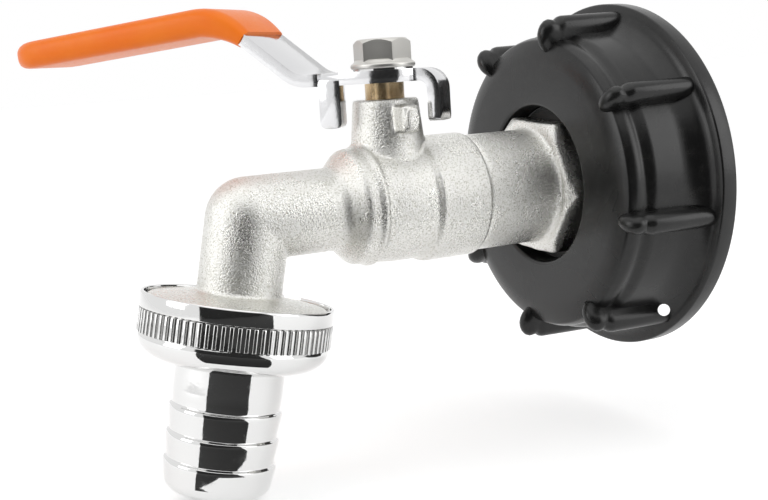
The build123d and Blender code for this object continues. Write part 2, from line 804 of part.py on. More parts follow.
export_step(lever_washer.part, "parts/lever_washer.step")
lever_nut.part.label = "lever_nut"
export_step(lever_nut.part, "parts/lever_nut.step")
union_nut.part.label = "union_nut"
export_step(union_nut.part, "parts/union_nut.step")
tail_washer.part.label = "tail_washer"
export_step(tail_washer.part, "parts/tail_washer.step")
hose_tail.part.label = "hose_tail"
export_step(hose_tail.part, "parts/hose_tail.step")
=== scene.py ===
import bpy
import bmesh
import json
from math import asin, atan2, cos, pi, radians, sin, sqrt, tan
from mathutils import Matrix, Vector


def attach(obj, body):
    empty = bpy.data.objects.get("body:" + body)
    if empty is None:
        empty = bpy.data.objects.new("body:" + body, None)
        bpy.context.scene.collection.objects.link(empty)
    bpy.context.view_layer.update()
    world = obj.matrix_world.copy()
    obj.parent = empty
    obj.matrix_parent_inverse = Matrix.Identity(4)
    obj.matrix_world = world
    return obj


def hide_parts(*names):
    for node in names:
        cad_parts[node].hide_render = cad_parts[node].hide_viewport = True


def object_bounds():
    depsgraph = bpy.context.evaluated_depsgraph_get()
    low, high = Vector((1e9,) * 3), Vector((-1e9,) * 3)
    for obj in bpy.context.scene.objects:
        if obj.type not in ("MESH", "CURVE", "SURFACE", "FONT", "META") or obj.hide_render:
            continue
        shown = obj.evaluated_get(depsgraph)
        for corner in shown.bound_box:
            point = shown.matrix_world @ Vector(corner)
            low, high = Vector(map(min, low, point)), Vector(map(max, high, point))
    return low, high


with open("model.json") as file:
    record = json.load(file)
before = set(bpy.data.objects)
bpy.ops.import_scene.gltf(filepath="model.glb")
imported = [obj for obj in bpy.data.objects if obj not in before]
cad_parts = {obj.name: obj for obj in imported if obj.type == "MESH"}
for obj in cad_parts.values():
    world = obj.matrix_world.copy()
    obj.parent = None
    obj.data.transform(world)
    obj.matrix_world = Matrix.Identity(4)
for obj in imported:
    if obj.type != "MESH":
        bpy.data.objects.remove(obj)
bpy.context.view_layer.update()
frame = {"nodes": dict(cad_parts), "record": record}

scene = bpy.context.scene
mm = 0.001

# places shared by the pieces, in millimetres of the CAD frame
layout = {
    "stemX": -62.45,
    "elbowX": -96.35,
    "outletTilt": 12.0,
    "leverHeading": 50.0,
}
tilt = radians(layout["outletTilt"])
outletDown = Vector((-sin(tilt), 0, -cos(tilt)))
stemPlace = Matrix.Translation(Vector((layout["stemX"], 0, 0)) * mm)
capPlace = Matrix(((0, 0, 1, 0), (1, 0, 0, 0), (0, 1, 0, 0), (0, 0, 0, 1)))
barrelPlace = stemPlace @ capPlace
outletPlace = (
    Matrix.Translation(Vector((layout["elbowX"], 0, 0)) * mm)
    @ outletDown.to_track_quat("Z", "Y").to_matrix().to_4x4()
)
leverPlace = stemPlace @ Matrix.Rotation(radians(180 - layout["leverHeading"]), 4, "Z")
print("places ready")


# nodes and materials

def addNode(tree, kind, **settings):
    node = tree.nodes.new(kind)
    for name, value in settings.items():
        if name in node.inputs.keys():
            node.inputs[name].default_value = value
        else:
            setattr(node, name, value)
    return node


def startMaterial(name, colour, **sockets):
    material = bpy.data.materials.new(name)
    material.use_nodes = True
    tree = material.node_tree
    shader = tree.nodes["Principled BSDF"]
    shader.inputs["Base Color"].default_value = (*colour, 1)
    for socket, value in sockets.items():
        shader.inputs[socket.replace("_", " ")].default_value = value
    place = addNode(tree, "ShaderNodeTexCoord")
    return material, tree, shader, place.outputs["Object"]


def noiseNode(tree, vector, scale, detail, roughness, distortion=0.0):
    node = addNode(tree, "ShaderNodeTexNoise", Scale=scale, Detail=detail, Roughness=roughness, Distortion=distortion)
    tree.links.new(vector, node.inputs["Vector"])
    return node.outputs["Fac"]


def rampNode(tree, value, stops):
    node = addNode(tree, "ShaderNodeValToRGB")
    ramp = node.color_ramp
    while len(ramp.elements) < len(stops):
        ramp.elements.new(0.5)
    for element, (position, colour) in zip(ramp.elements, stops):
        element.position = position
        element.color = (*colour, 1) if isinstance(colour, tuple) else (colour, colour, colour, 1)
    tree.links.new(value, node.inputs["Fac"])
    return node.outputs["Color"]


def bumpNode(tree, height, distance, normal=None):
    node = addNode(tree, "ShaderNodeBump", Strength=1.0, Distance=distance)
    tree.links.new(height, node.inputs["Height"])
    if normal is not None:
        tree.links.new(normal, node.inputs["Normal"])
    return node.outputs["Normal"]


def castNickelMaterial():
    look = {"grain": 3100.0, "pits": 2000.0, "cloud": 90.0, "grainHeight": 0.00018, "pitHeight": 0.00008}
    material, tree, shader, place = startMaterial("castNickel", (0.70, 0.69, 0.66), Metallic=1.0, Roughness=0.32)
    grain = noiseNode(tree, place, look["grain"], 3.0, 0.6)
    pits = noiseNode(tree, place, look["pits"], 2.0, 0.5, 0.4)
    cloud = noiseNode(tree, place, look["cloud"], 5.0, 0.6)
    tone = rampNode(tree, grain, [
        (0.35, (0.48, 0.47, 0.41)), (0.47, (0.79, 0.785, 0.75)), (0.68, (0.87, 0.865, 0.845)),
    ])
    tree.links.new(tone, shader.inputs["Base Color"])
    rough = rampNode(tree, cloud, [(0.3, 0.23), (0.7, 0.32)])
    tree.links.new(rough, shader.inputs["Roughness"])
    first = bumpNode(tree, grain, look["grainHeight"])
    second = bumpNode(tree, pits, look["pitHeight"], normal=first)
    tree.links.new(second, shader.inputs["Normal"])
    return material


def chromeMaterial():
    look = {"ripple": 130.0, "rippleHeight": 0.00003, "dimple": 450.0, "dimpleHeight": 0.000014, "speck": 900.0}
    material, tree, shader, place = startMaterial("chromePlate", (0.74, 0.74, 0.735), Metallic=1.0, Roughness=0.05)
    ripple = noiseNode(tree, place, look["ripple"], 2.0, 0.4)
    dimple = noiseNode(tree, place, look["dimple"], 2.0, 0.5)
    speck = noiseNode(tree, place, look["speck"], 2.0, 0.5)
    rough = rampNode(tree, speck, [(0.45, 0.04), (0.75, 0.12)])
    tree.links.new(rough, shader.inputs["Roughness"])
    first = bumpNode(tree, ripple, look["rippleHeight"])
    tree.links.new(bumpNode(tree, dimple, look["dimpleHeight"], normal=first), shader.inputs["Normal"])
    return material


def zincPlateMaterial(name, colour, roughness, grainHeight):
    look = {"grain": 520.0, "cloud": 60.0}
    material, tree, shader, place = startMaterial(name, colour, Metallic=1.0, Roughness=roughness)
    grain = noiseNode(tree, place, look["grain"], 4.0, 0.6)
    cloud = noiseNode(tree, place, look["cloud"], 3.0, 0.5)
    rough = rampNode(tree, cloud, [(0.3, roughness * 0.75), (0.7, roughness * 1.25)])
    tree.links.new(rough, shader.inputs["Roughness"])
    tree.links.new(bumpNode(tree, grain, grainHeight), shader.inputs["Normal"])
    return material


def brassMaterial():
    look = {"rings": 5200.0, "ringHeight": 0.000012, "tarnish": 260.0}
    material, tree, shader, place = startMaterial("turnedBrass", (0.60, 0.44, 0.25), Metallic=1.0, Roughness=0.2)
    wave = addNode(tree, "ShaderNodeTexWave", bands_direction="Z", Scale=look["rings"], Distortion=0.6, Detail=1.0)
    tree.links.new(place, wave.inputs["Vector"])
    tarnish = noiseNode(tree, place, look["tarnish"], 4.0, 0.6)
    tone = rampNode(tree, tarnish, [(0.3, (0.46, 0.32, 0.17)), (0.7, (0.68, 0.53, 0.33))])
    tree.links.new(tone, shader.inputs["Base Color"])
    tree.links.new(bumpNode(tree, wave.outputs["Fac"], look["ringHeight"]), shader.inputs["Normal"])
    return material


def capPlasticMaterial():
    look = {"skin": 2200.0, "skinHeight": 0.00002, "flow": 45.0, "dust": 380.0}
    material, tree, shader, place = startMaterial(
        "blackMoulding", (0.010, 0.010, 0.010), Roughness=0.27, Specular_IOR_Level=0.4,
    )
    skin = noiseNode(tree, place, look["skin"], 3.0, 0.6)
    flow = noiseNode(tree, place, look["flow"], 3.0, 0.5, 0.8)
    dust = noiseNode(tree, place, look["dust"], 6.0, 0.7)
    tone = rampNode(tree, dust, [(0.45, (0.007, 0.007, 0.007)), (0.78, (0.016, 0.016, 0.015))])
    tree.links.new(tone, shader.inputs["Base Color"])
    rough = rampNode(tree, flow, [(0.3, 0.23), (0.7, 0.32)])
    tree.links.new(rough, shader.inputs["Roughness"])
    tree.links.new(bumpNode(tree, skin, look["skinHeight"]), shader.inputs["Normal"])
    return material


def gripVinylMaterial():
    look = {"skin": 1200.0, "skinHeight": 0.00003, "cloud": 70.0}
    material, tree, shader, place = startMaterial(
        "orangeVinyl", (0.95, 0.20, 0.01), Roughness=0.3, Specular_IOR_Level=0.25,
    )
    skin = noiseNode(tree, place, look["skin"], 3.0, 0.6)
    cloud = noiseNode(tree, place, look["cloud"], 4.0, 0.6)
    tone = rampNode(tree, cloud, [(0.3, (0.94, 0.180, 0.008)), (0.7, (0.97, 0.225, 0.014))])
    tree.links.new(tone, shader.inputs["Base Color"])
    rough = rampNode(tree, skin, [(0.3, 0.28), (0.7, 0.40)])
    tree.links.new(rough, shader.inputs["Roughness"])
    tree.links.new(bumpNode(tree, skin, look["skinHeight"]), shader.inputs["Normal"])
    return material


def rubberMaterial():
    look = {"skin": 1500.0, "skinHeight": 0.00004}
    material, tree, shader, place = startMaterial("sealRubber", (0.02, 0.02, 0.02), Roughness=0.7)
    skin = noiseNode(tree, place, look["skin"], 5.0, 0.7)
    tone = rampNode(tree, skin, [(0.3, (0.014, 0.014, 0.014)), (0.75, (0.040, 0.039, 0.038))])
    tree.links.new(tone, shader.inputs["Base Color"])
    tree.links.new(bumpNode(tree, skin, look["skinHeight"]), shader.inputs["Normal"])
    return material


def seatMaterial():
    look = {"skin": 1800.0, "skinHeight": 0.00002}
    material, tree, shader, place = startMaterial("whiteSeat", (0.82, 0.82, 0.80), Roughness=0.45)
    skin = noiseNode(tree, place, look["skin"], 3.0, 0.6)
    tone = rampNode(tree, skin, [(0.3, (0.76, 0.76, 0.73)), (0.7, (0.86, 0.86, 0.84))])
    tree.links.new(tone, shader.inputs["Base Color"])
    tree.links.new(bumpNode(tree, skin, look["skinHeight"]), shader.inputs["Normal"])
    return material


finishes = {
    "cast_nickel": castNickelMaterial(),
    "chrome": chromeMaterial(),
    "stem_brass": brassMaterial(),
    "black_plastic": capPlasticMaterial(),
    "orange_vinyl": gripVinylMaterial(),
    "black_rubber": rubberMaterial(),
    "white_seal": seatMaterial(),
}
leverPlate = zincPlateMaterial("leverPlate", (0.70, 0.70, 0.71), 0.15, 0.00003)
nutPlate = zincPlateMaterial("nutPlate", (0.62, 0.61, 0.58), 0.38, 0.00004)
for entry in frame["record"]["subparts"]:
    node = frame["nodes"][entry["node"]]
    for index in range(len(node.material_slots)):
        node.material_slots[index].material = finishes[entry["material_slot"]]
print("materials ready")


# mesh helpers, all working in millimetres

def wireLoop(points, closed=True, roundSteps=4):
    # points are (x, y, z) or (x, y, z, rounding)
    bm = bmesh.new()
    corners = [bm.verts.new(point[:3]) for point in points]
    for first, second in zip(corners, corners[1:]):
        bm.edges.new((first, second))
    if closed:
        bm.edges.new((corners[-1], corners[0]))
    groups = {}
    for corner, point in zip(corners, points):
        if len(point) > 3:
            groups.setdefault(point[3], []).append(corner)
    for rounding, group in groups.items():
        bmesh.ops.bevel(
            bm, geom=group, offset=rounding, offset_type="OFFSET", segments=roundSteps,
            profile=0.5, affect="VERTICES", material=-1, clamp_overlap=True,
        )
    return bm


def lathe(points, steps=96, closed=True, roundSteps=4):
    # points are (radius, height) or (radius, height, rounding), spun about Z
    bm = wireLoop([(point[0], 0, *point[1:]) for point in points], closed, roundSteps)
    bmesh.ops.spin(
        bm, geom=bm.verts[:] + bm.edges[:], cent=(0, 0, 0), axis=(0, 0, 1),
        angle=2 * pi, steps=steps, use_merge=True,
    )
    tidyMesh(bm)
    return bm


def tidyMesh(bm, reach=0.001):
    bmesh.ops.remove_doubles(bm, verts=bm.verts, dist=reach)
    bmesh.ops.dissolve_degenerate(bm, edges=bm.edges, dist=reach / 2)
    bmesh.ops.recalc_face_normals(bm, faces=bm.faces)


def addShell(bm, other, place=None):
    # joins another mesh into this one and forgets it
    if place is not None:
        bmesh.ops.transform(other, matrix=place, verts=other.verts)
    shell = bpy.data.meshes.new("shell")
    other.to_mesh(shell)
    other.free()
    bm.from_mesh(shell)
    bpy.data.meshes.remove(shell)


def rawObject(name, bm):
    mesh = bpy.data.meshes.new(name)
    bm.to_mesh(mesh)
    bm.free()
    made = bpy.data.objects.new(name, mesh)
    scene.collection.objects.link(made)
    return made


def bakeModifiers(made):
    # the evaluated mesh goes back into a bmesh and the helper object is removed
    graph = bpy.context.evaluated_depsgraph_get()
    baked = bpy.data.meshes.new_from_object(made.evaluated_get(graph))
    bm = bmesh.new()
    bm.from_mesh(baked)
    old = made.data
    bpy.data.objects.remove(made)
    bpy.data.meshes.remove(old)
    bpy.data.meshes.remove(baked)
    return bm


def combine(bm, tool, operation):
    base = rawObject("combineBase", bm)
    cutter = rawObject("combineTool", tool)
    modifier = base.modifiers.new("combine", "BOOLEAN")
    modifier.operation = operation
    modifier.solver = "EXACT"
    modifier.object = cutter
    made = bakeModifiers(base)
    old = cutter.data
    bpy.data.objects.remove(cutter)
    bpy.data.meshes.remove(old)
    return made


def fuseCasting(bm, voxel, smoothing):
    # voxels join the shells and soften their corners as a casting's are
    base = rawObject("castingBase", bm)
    modifier = base.modifiers.new("voxels", "REMESH")
    modifier.mode = "VOXEL"
    modifier.voxel_size = voxel
    modifier.adaptivity = 0.0
    made = bakeModifiers(base)
    for _ in range(smoothing):
        bmesh.ops.smooth_vert(
            made, verts=made.verts, factor=0.5, use_axis_x=True, use_axis_y=True, use_axis_z=True,
        )
    return made


def sweepRing(bm, ring, places):
    # the ring's edges are extruded from place to place, and both ends are closed
    edges = ring
    ends = [edges]
    bmesh.ops.transform(bm, matrix=places[0], verts=list({v for e in edges for v in e.verts}))
    for before, after in zip(places, places[1:]):
        made = bmesh.ops.extrude_edge_only(bm, edges=edges)["geom"]
        edges = [item for item in made if isinstance(item, bmesh.types.BMEdge)
                 and all(v in made for v in item.verts)]
        verts = [item for item in made if isinstance(item, bmesh.types.BMVert)]
        bmesh.ops.transform(bm, matrix=after @ before.inverted(), verts=verts)
    ends.append(edges)
    for end in ends:
        bmesh.ops.edgeloop_fill(bm, edges=end)


def finishPiece(name, bm, place, body, nodes, finish, sharpAngle=32.0):
    # from millimetres to the frame's metres, with smooth faces and sharp edges past the angle
    bmesh.ops.transform(bm, matrix=place @ Matrix.Scale(mm, 4), verts=bm.verts)
    limit = radians(sharpAngle)
    for edge in bm.edges:
        edge.smooth = not edge.is_manifold or edge.calc_face_angle(0.0) < limit
    for face in bm.faces:
        face.smooth = True
    piece = rawObject(name, bm)
    piece.data.materials.append(finish)
    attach(piece, body)
    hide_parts(*nodes)


# screw cap: wall, shoulder, flange, boss and hex recess in one spun outline

capShape = {
    "depth": 24.2, "wall": 35.2, "flange": 41.0, "flangeThick": 4.2, "threadRadius": 30.0,
    "threadDepth": 15.0, "gasketDepth": 18.0, "boss": 21.5, "bossFace": 12.5, "hole": 13.2,
    "recess": 18.4, "recessFloor": 18.45, "ribs": 8, "ribStart": 100.6,
    "wireRib": 3, "wireHole": 2.8, "wireReach": 26.0, "wirePlace": (-21.0, -30.06, -4.2),
    "wireWay": (0.770, -0.218, 0.647), "pitch": 6.0, "ridge": 1.5, "threadTurns": 1.9, "stepsPerTurn": 72,
}


def wireHoleMesh():
    # the sealing wire's hole runs slantwise through the foot of one rib and the flange
    c = capShape
    hole = bmesh.new()
    bmesh.ops.create_cone(
        hole, cap_ends=True, cap_tris=False, segments=24, radius1=c["wireHole"] / 2, radius2=c["wireHole"] / 2,
        depth=c["wireReach"],
    )
    place = Matrix.Translation(c["wirePlace"]) @ Vector(c["wireWay"]).to_track_quat("Z", "Y").to_matrix().to_4x4()
    bmesh.ops.transform(hole, matrix=place, verts=hole.verts)
    return hole


def capShellMesh():
    c = capShape
    face = -c["depth"]
    return lathe([
        (c["recess"] + 0.5, face, 0.35), (31.0, face, 2.4), (33.5, face + 1.2, 1.5), (34.4, face + 3.4, 1.0),
        (33.9, face + 5.0, 0.9), (35.15, face + 6.8, 0.8), (c["wall"] + 0.35, -c["flangeThick"] - 3.6, 2.4),
        (c["wall"] + 2.9, -c["flangeThick"] - 0.35, 1.2), (c["flange"] - 1.4, -c["flangeThick"], 0.3),
        (c["flange"], -c["flangeThick"] + 0.35, 0.4), (c["flange"], 0, 0.35),
        (c["threadRadius"] + 0.6, 0, 0.4), (c["threadRadius"], -0.9, 0.3),
        (c["threadRadius"], -c["gasketDepth"], 0.3), (c["boss"], -c["gasketDepth"], 0.3),
        (c["boss"], -c["bossFace"], 0.8), (c["hole"] + 0.35, -c["bossFace"], 0.2),
        (c["hole"], -c["bossFace"] - 0.5, 0.1), (c["hole"], -c["recessFloor"]),
        (c["recess"], -c["recessFloor"], 0.3), (c["recess"], face + 0.5, 0.3),
    ], steps=160)


def ribMesh():
    # one grip rib: a half round bar, a saddle, then a drop-shaped nose over the shoulder
    # each station has the crest's height and radius, the base's height and radius, and the width
    crestAndBase = [
        (-1.6, 39.6, -1.6, 33.6, 4.9), (-12.0, 39.4, -12.0, 33.6, 4.85), (-19.8, 39.2, -19.6, 33.4, 4.8),
        (-20.7, 38.95, -20.2, 33.2, 4.7), (-21.3, 38.5, -20.6, 33.0, 4.5), (-21.9, 38.25, -21.0, 33.0, 4.3),
        (-22.5, 38.4, -21.4, 33.0, 4.3), (-23.4, 38.5, -21.8, 32.9, 4.35), (-24.3, 38.15, -22.1, 32.7, 4.25),
        (-25.05, 37.4, -22.4, 32.4, 4.0), (-25.55, 36.4, -22.7, 32.1, 3.65), (-25.8, 35.3, -22.9, 31.8, 3.15),
        (-25.75, 34.1, -23.1, 31.5, 2.5), (-25.4, 32.9, -23.3, 31.2, 1.7), (-24.6, 31.7, -23.6, 30.9, 0.7),
    ]
    bm = wireLoop([(-0.5, 0, -0.5), (0.5, 0, -0.5), (0.5, 0, 0.5, 0.47), (-0.5, 0, 0.5, 0.47)], roundSteps=6)
    places = []
    for crestZ, crestR, baseZ, baseR, width in crestAndBase:
        crest, base = Vector((crestR, 0, crestZ)), Vector((baseR, 0, baseZ))
        up = crest - base
        ahead = Vector((0, 1, 0)).cross(up).normalized()
        place = Matrix.Identity(4)
        place.col[0] = (*(Vector((0, 1, 0)) * width), 0)
        place.col[1] = (*ahead, 0)
        place.col[2] = (*up, 0)
        place.col[3] = (*((crest + base) / 2), 1)
        places.append(place)
    sweepRing(bm, bm.edges[:], places)
    tidyMesh(bm)
    return bm


def capRibsMesh():
    c = capShape
    ribs = bmesh.new()
    for index in range(c["ribs"]):
        rib = ribMesh()
        turn = Matrix.Rotation(radians(c["ribStart"] + index * 360 / c["ribs"]), 4, "Z")
        bmesh.ops.transform(rib, matrix=turn, verts=rib.verts)
        if index == c["wireRib"]:
            rib = combine(rib, wireHoleMesh(), "DIFFERENCE")
        addShell(ribs, rib)
    return ribs


def tankThreadMesh():
    # a coarse ridge spun up the bore, its two ends drawn back into the wall
    c = capShape
    turns = c["threadTurns"]
    outside, crest = c["threadRadius"] + 0.3, c["threadRadius"] - c["ridge"]
    bm = wireLoop([(outside, 0, -1.9), (crest, 0, -0.9, 0.3), (crest, 0, 0.3, 0.3), (outside, 0, 1.0)], roundSteps=2)
    bmesh.ops.translate(bm, vec=(0, 0, -c["threadDepth"] + 2.6), verts=bm.verts)
    first = bm.edges[:]
    firstVerts = bm.verts[:]
    made = bmesh.ops.spin(
        bm, geom=firstVerts + first, cent=(0, 0, 0), axis=(0, 0, 1), dvec=(0, 0, c["pitch"] / c["stepsPerTurn"]),
        angle=2 * pi * turns, steps=int(turns * c["stepsPerTurn"]), use_merge=False,
    )["geom_last"]
    lastVerts = [item for item in made if isinstance(item, bmesh.types.BMVert)]
    last = [item for item in made if isinstance(item, bmesh.types.BMEdge)]
    for verts in (firstVerts, lastVerts):
        for vert in verts:
            flat = Vector((vert.co.x, vert.co.y, 0))
            vert.co += flat.normalized() * (outside + 0.1 - flat.length)
    bmesh.ops.edgeloop_fill(bm, edges=first)
    bmesh.ops.edgeloop_fill(bm, edges=last)
    tidyMesh(bm, 0.0005)
    return bm


capMesh = combine(capShellMesh(), wireHoleMesh(), "DIFFERENCE")
addShell(capMesh, capRibsMesh())
addShell(capMesh, tankThreadMesh())
finishPiece("capShell", capMesh, capPlace, "valve", ["cap"], finishes["black_plastic"])
print("cap ready")


# end connector: plain cast barrel, soft hexagon and the pipe thread into the cap

connectorShape = {
    "inner": -53.55, "seam": -44.45, "hexFront": -26.45, "hexBack": -19.95, "tip": -11.5, "barrel": 13.2,
    "thread": 11.9, "flats": 30.0, "turn": 4.5, "pipe": 13.2, "bore": 6.5, "pipeBore": 9.8,
    "voxel": 0.42, "pitch": 1.8, "ridge": 0.85,
}


def hexPrism(flats, low, high, turn):
    bm = bmesh.new()
    bmesh.ops.create_cone(
        bm, cap_ends=True, cap_tris=False, segments=6, radius1=flats / sqrt(3), radius2=flats / sqrt(3),
        depth=high - low,
    )
    bmesh.ops.rotate(bm, cent=(0, 0, 0), matrix=Matrix.Rotation(radians(turn), 3, "Z"), verts=bm.verts)
    bmesh.ops.translate(bm, vec=(0, 0, (low + high) / 2), verts=bm.verts)
    return bm


def threadRidge(radius, depth, pitch, low, high):
    # the thread's ridge is rooted a little inside the bar that carries it
    stepsPerTurn = 60
    turns = (high - low) / pitch
    bm = wireLoop([
        (radius - 0.05, 0, -pitch * 0.45), (radius + depth, 0, -pitch * 0.08),
        (radius + depth, 0, pitch * 0.08), (radius - 0.05, 0, pitch * 0.45), (radius - 0.3, 0, 0),
    ])
    bmesh.ops.translate(bm, vec=(0, 0, low), verts=bm.verts)
    first, firstVerts = bm.edges[:], bm.verts[:]
    made = bmesh.ops.spin(
        bm, geom=firstVerts + first, cent=(0, 0, 0), axis=(0, 0, 1), dvec=(0, 0, pitch / stepsPerTurn),
        angle=2 * pi * turns, steps=int(turns * stepsPerTurn), use_merge=False,
    )["geom_last"]
    last = [item for item in made if isinstance(item, bmesh.types.BMEdge)]
    bmesh.ops.edgeloop_fill(bm, edges=first)
    bmesh.ops.edgeloop_fill(bm, edges=last)
    tidyMesh(bm, 0.0005)
    return bm


def connectorMesh():
    c = connectorShape
    corner = c["flats"] / sqrt(3)
    hexagon = hexPrism(c["flats"], c["hexFront"], c["hexBack"], c["turn"] + 90)
    trim = lathe([
        (0, c["hexFront"] - 1), (corner - 2.6, c["hexFront"] - 1), (corner - 2.1, c["hexFront"]),
        (corner - 0.2, c["hexFront"] + 1.5, 0.8), (corner + 1, c["hexFront"] + 2.2), (corner + 1, c["hexBack"] + 1),
        (0, c["hexBack"] + 1),
    ], closed=False)
    body = combine(hexagon, trim, "INTERSECT")
    addShell(body, lathe([
        (0, c["inner"]), (c["thread"] - 0.8, c["inner"]), (c["thread"], c["inner"] + 0.8), (c["thread"], c["seam"]),
        (c["barrel"] - 0.4, c["seam"], 0.2), (c["barrel"], c["seam"] + 0.5, 0.4),
        (c["barrel"], c["hexFront"] - 0.9, 0.6), (c["barrel"] + 0.5, c["hexFront"] + 0.4),
        (c["barrel"] + 0.5, c["hexFront"] + 2), (0, c["hexFront"] + 2),
    ], closed=False))
    addShell(body, lathe([
        (0, c["hexBack"] - 2), (c["pipe"] - 0.9, c["hexBack"] - 2), (c["pipe"] - 0.9, c["tip"] - 0.6),
        (c["pipe"] - 1.5, c["tip"]), (0, c["tip"]),
    ], closed=False))
    body = fuseCasting(body, c["voxel"], 3)
    bore = lathe([
        (0, c["inner"] - 1), (c["bore"], c["inner"] - 1), (c["bore"], c["hexFront"]), (c["pipeBore"], c["hexBack"]),
        (c["pipeBore"], c["tip"] + 1), (0, c["tip"] + 1),
    ], closed=False)
    body = combine(body, bore, "DIFFERENCE")
    addShell(body, threadRidge(c["pipe"] - 0.9, c["ridge"], c["pitch"], c["hexBack"] + 0.6, c["tip"] - 1.2))
    return body


finishPiece("endConnector", connectorMesh(), capPlace, "valve", ["end_connector"],
            finishes["cast_nickel"], sharpAngle=50.0)
print("connector ready")


# valve body: barrel, stem tower with the stop lug, spout, elbow and outlet, fused as one casting

bodyShape = {
    "spoutEnd": -33.9, "spout": 9.0, "barrel": 13.1, "bead": 13.35, "beadSide": 12.75,
    "socket": 14.0, "socketStart": 5.6, "socketEnd": 18.0,
    "towerTop": 22.7, "towerTopRadius": 7.2, "towerFootRadius": 8.2, "lugWidth": 4.0, "lugReach": 12.0,
    "lugLow": 15.5, "lugHigh": 21.3, "padWidth": 3.1, "padHeight": 5.2, "padProud": 0.65,
    "collar": 18.9, "collarTop": 15.9, "collarEdge": 17.3, "collarBottom": 18.3, "outlet": 16.6, "outletEnd": 24.9,
    "waterway": 6.5, "chamber": 10.65, "chamberReach": 8.9, "joint": 11.9, "jointEnd": 16.6, "mouth": 12.9,
    "stemBore": 5.28, "stemShoulder": 12.0, "stemNeck": 4.34, "voxel": 0.36,
}


def valveBodyMesh():
    b = bodyShape
    body = bmesh.new()
    addShell(body, lathe([
        (0, b["spoutEnd"]), (b["spout"], b["spoutEnd"]), (b["spout"], -14.8, 1.2), (12.6, -11.3, 0.6),
        (b["beadSide"], -8.6, 0.15), (b["bead"], -8.1, 0.25), (b["bead"], -7.3, 0.25), (b["beadSide"], -6.8, 0.15),
        (b["barrel"], -1.4, 0.5), (b["barrel"], b["socketStart"] - 0.5, 0.3), (b["socket"], b["socketStart"], 0.3),
        (b["socket"], b["socketEnd"] - 0.2, 0.2), (b["socket"] - 0.4, b["socketEnd"]),
        (0, b["socketEnd"]),
    ], closed=False), capPlace)
    addShell(body, lathe([
        (0, 4), (10.8, 4), (10.8, 7.0, 1.0), (9.0, 9.2, 1.5), (b["towerFootRadius"], 12.4, 2.0),
        (b["towerTopRadius"], b["towerTop"] - 0.3, 0.2), (b["towerTopRadius"] - 0.3, b["towerTop"]),
        (0, b["towerTop"]),
    ], closed=False))
    toElbow = stemPlace.inverted() @ outletPlace
    toElbow.translation *= 1000
    ball = bmesh.new()
    bmesh.ops.create_uvsphere(ball, u_segments=64, v_segments=40, radius=b["spout"])
    addShell(body, ball, toElbow)
    addShell(body, lathe([
        (0, 0), (b["spout"], 0), (b["spout"], b["collarTop"] - 0.2, 0.5), (b["collar"], b["collarEdge"], 0.3),
        (b["collar"], b["collarBottom"], 0.2), (b["outlet"], b["collarBottom"]), (b["outlet"], b["outletEnd"] - 0.7),
        (b["outlet"] - 0.7, b["outletEnd"]), (0, b["outletEnd"]),
    ], closed=False), toElbow)
    lug = bmesh.new()
    bmesh.ops.create_cube(lug, size=1.0)
    bmesh.ops.scale(lug, vec=(b["lugWidth"], b["lugReach"], b["lugHigh"] - b["lugLow"]), verts=lug.verts)
    bmesh.ops.bevel(lug, geom=lug.edges[:], offset=0.55, segments=3, profile=0.5, affect="EDGES", material=-1)
    bmesh.ops.translate(lug, vec=(0, -b["lugReach"] / 2, (b["lugLow"] + b["lugHigh"]) / 2), verts=lug.verts)
    addShell(body, lug)
    pad = bmesh.new()
    bmesh.ops.create_cone(pad, cap_ends=True, cap_tris=False, segments=48, radius1=0.5, radius2=0.5, depth=1.2)
    bmesh.ops.rotate(pad, cent=(0, 0, 0), matrix=Matrix.Rotation(pi / 2, 3, "X"), verts=pad.verts)
    bmesh.ops.scale(pad, vec=(b["padWidth"], 1, b["padHeight"]), verts=pad.verts)
    bmesh.ops.translate(
        pad, vec=(0, -b["lugReach"] - b["padProud"] + 0.6, (b["lugLow"] + b["lugHigh"]) / 2), verts=pad.verts,
    )
    addShell(body, pad)
    body = fuseCasting(body, b["voxel"], 3)
    hollows = lathe([
        (0, b["spoutEnd"]), (b["waterway"], b["spoutEnd"]), (b["waterway"], -b["chamberReach"]),
        (b["chamber"], -b["chamberReach"]), (b["chamber"], b["chamberReach"]), (b["joint"], b["chamberReach"]),
        (b["joint"], b["jointEnd"]), (b["mouth"], b["jointEnd"]), (b["mouth"], b["socketEnd"] + 1),
        (0, b["socketEnd"] + 1),
    ], closed=False)
    bmesh.ops.transform(hollows, matrix=capPlace, verts=hollows.verts)
    body = combine(body, hollows, "DIFFERENCE")
    bend = bmesh.new()
    bmesh.ops.create_uvsphere(bend, u_segments=48, v_segments=32, radius=b["waterway"] + 0.02)
    bmesh.ops.transform(bend, matrix=toElbow, verts=bend.verts)
    body = combine(body, bend, "DIFFERENCE")
    drop = lathe([(0, 0), (b["waterway"] + 0.01, 0), (b["waterway"] + 0.01, 26), (0, 26)], closed=False)
    bmesh.ops.transform(drop, matrix=toElbow, verts=drop.verts)
    body = combine(body, drop, "DIFFERENCE")
    stemHole = lathe([
        (0, 0), (b["stemBore"], 0), (b["stemBore"], b["stemShoulder"]), (b["stemNeck"], b["stemShoulder"]),
        (b["stemNeck"], 22.4), (4.64, 24), (0, 24),
    ], closed=False)
    return combine(body, stemHole, "DIFFERENCE")


finishPiece("valveCasting", valveBodyMesh(), stemPlace, "valve", ["valve_body"],
            finishes["cast_nickel"], sharpAngle=50.0)
print("valve body ready")


# lever: a strip cut flat, folded up and over, with a stop tab folded down at the hub's side and back

